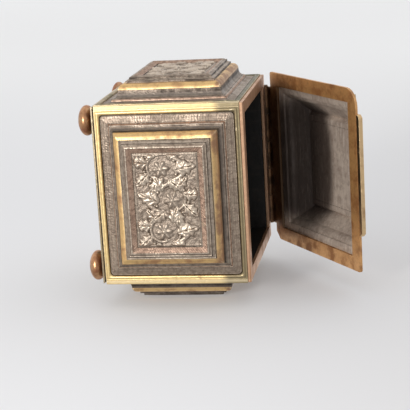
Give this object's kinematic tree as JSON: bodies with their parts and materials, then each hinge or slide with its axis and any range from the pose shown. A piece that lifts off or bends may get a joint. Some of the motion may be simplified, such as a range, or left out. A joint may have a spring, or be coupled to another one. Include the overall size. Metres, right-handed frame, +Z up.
{
  "type": "tinder box",
  "caption": "Small square brass tinder box on bun feet, with stepped relief panels on every side and a hinged lid that has a thumb lip.",
  "frame": {"origin": "centre of the four feet on the plane that they stand on", "axes": "+Z up through the lid, -Y out of the front panel below the thumb lip, +X to the viewer's right; the hinge runs along X at the back"},
  "size_m": [0.1142, 0.1142, 0.1388],
  "materials": {
    "plate_brass": "worn",
    "foot_bronze": "satin, patinated",
    "shell_patina": "dark patina",
    "liner_black": "blackened",
    "mouth_copper": "worn",
    "rim_brass": "polished by handling",
    "gilt_brass": "gilt, worn",
    "silvered_pressing": "silvered, tarnished",
    "silvered_relief": "silvered, rubbed",
    "lid_brass": "worn",
    "hinge_bronze": "dark, worn"
  },
  "bodies": {
    "case": {"bottom_plate": "plate_brass", "foot_front_left": "foot_bronze", "foot_front_right": "foot_bronze", "foot_back_left": "foot_bronze", "foot_back_right": "foot_bronze", "foot_washers": "plate_brass", "outer_shell": "shell_patina", "corner_angles": "rim_brass", "inner_case": "liner_black", "mouth_frame": "mouth_copper", "front_rim": "rim_brass", "front_panel": "silvered_pressing", "front_molding": "gilt_brass", "front_plaque": "silvered_relief", "right_rim": "rim_brass", "right_panel": "silvered_pressing", "right_molding": "gilt_brass", "right_plaque": "silvered_relief", "back_rim": "rim_brass", "back_panel": "silvered_pressing", "back_molding": "gilt_brass", "back_plaque": "silvered_relief", "left_rim": "rim_brass", "left_panel": "silvered_pressing", "left_molding": "gilt_brass", "left_plaque": "silvered_relief", "hinge_case_leaf": "hinge_bronze", "hinge_pin": "hinge_bronze"},
    "lid": {"lid_frame": "lid_brass", "lid_rim": "rim_brass", "lid_panel": "silvered_pressing", "lid_molding": "gilt_brass", "lid_plaque": "silvered_relief", "thumb_lip": "lid_brass", "hinge_lid_leaf": "hinge_bronze"}
  },
  "joints": [
    {"name": "lid_hinge", "type": "hinge", "parent": "case", "child": "lid", "pos_m": [0, 0.0489, 0.0827], "axis": [-1, 0, 0], "range_deg": [-35, 180]}
  ]
}
